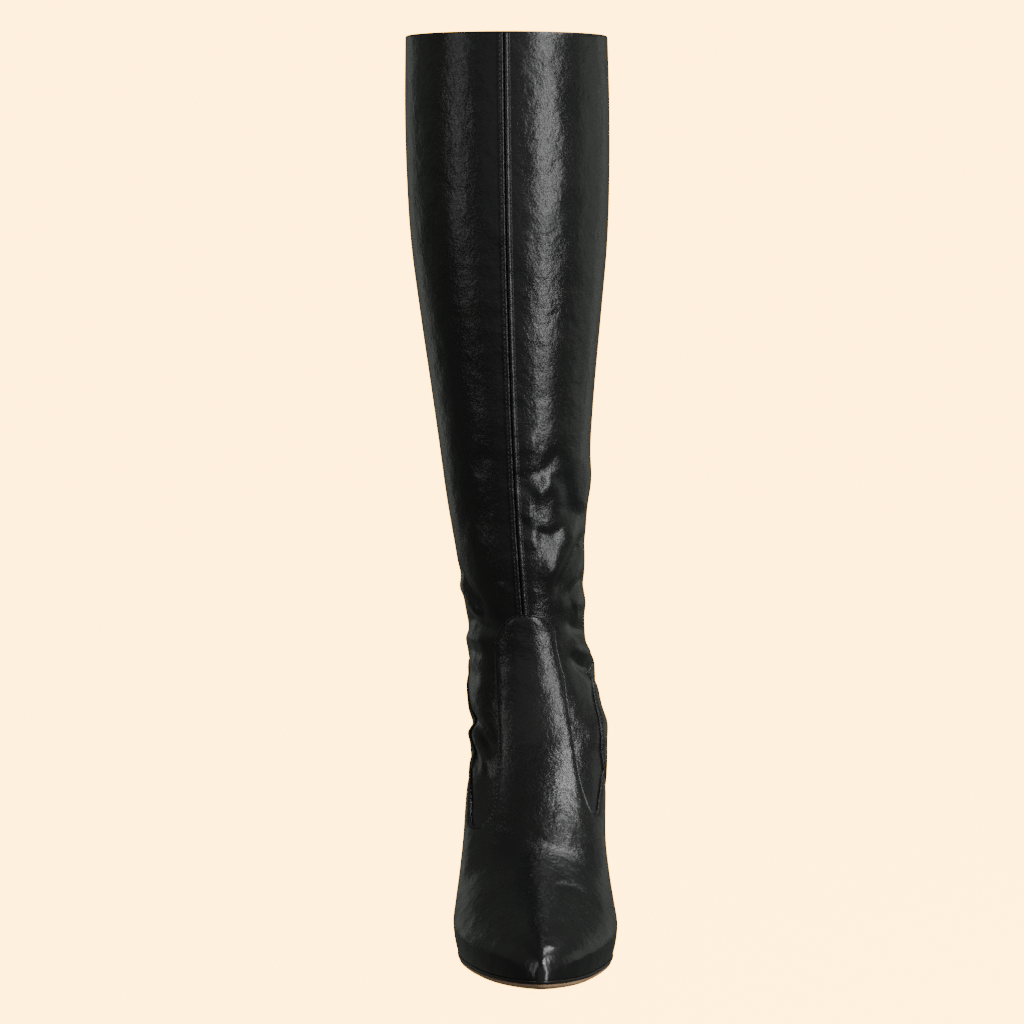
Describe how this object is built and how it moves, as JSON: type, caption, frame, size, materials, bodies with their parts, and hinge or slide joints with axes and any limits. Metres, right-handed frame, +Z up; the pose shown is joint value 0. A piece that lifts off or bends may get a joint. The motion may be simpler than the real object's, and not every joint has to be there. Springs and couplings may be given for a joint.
{
  "type": "knee-high boot",
  "caption": "Right knee-high boot in black leather with a pointed toe, a stitched tongue-shaped vamp, a pressed-open front seam and a slim high heel.",
  "frame": {"origin": "on the floor under the ball of the foot, at the middle of the forefoot's flat tread", "axes": "+Z up, -Y towards the toe, +Y towards the heel, +X towards the inner side of the foot"},
  "size_m": [0.1169, 0.2467, 0.4901],
  "materials": {
    "upper_leather": "smooth black calf leather, fine grain, semi-gloss",
    "heel_leather": "black leather covering over the heel, semi-gloss",
    "edge_black": "black edge ink, satin",
    "sole_leather": "tan sole leather, smooth, lightly burnished edge",
    "sock_leather": "dark sock and lining leather, matte",
    "lift_rubber": "black rubber, matte"
  },
  "bodies": {
    "root": {"upper": "upper_leather", "vamp": "upper_leather", "counter": "upper_leather", "front_seam": "upper_leather", "insole": "sock_leather", "sole_edge": "edge_black", "outsole": "sole_leather", "heel": "heel_leather", "top_lift": "lift_rubber"}
  },
  "joints": []
}
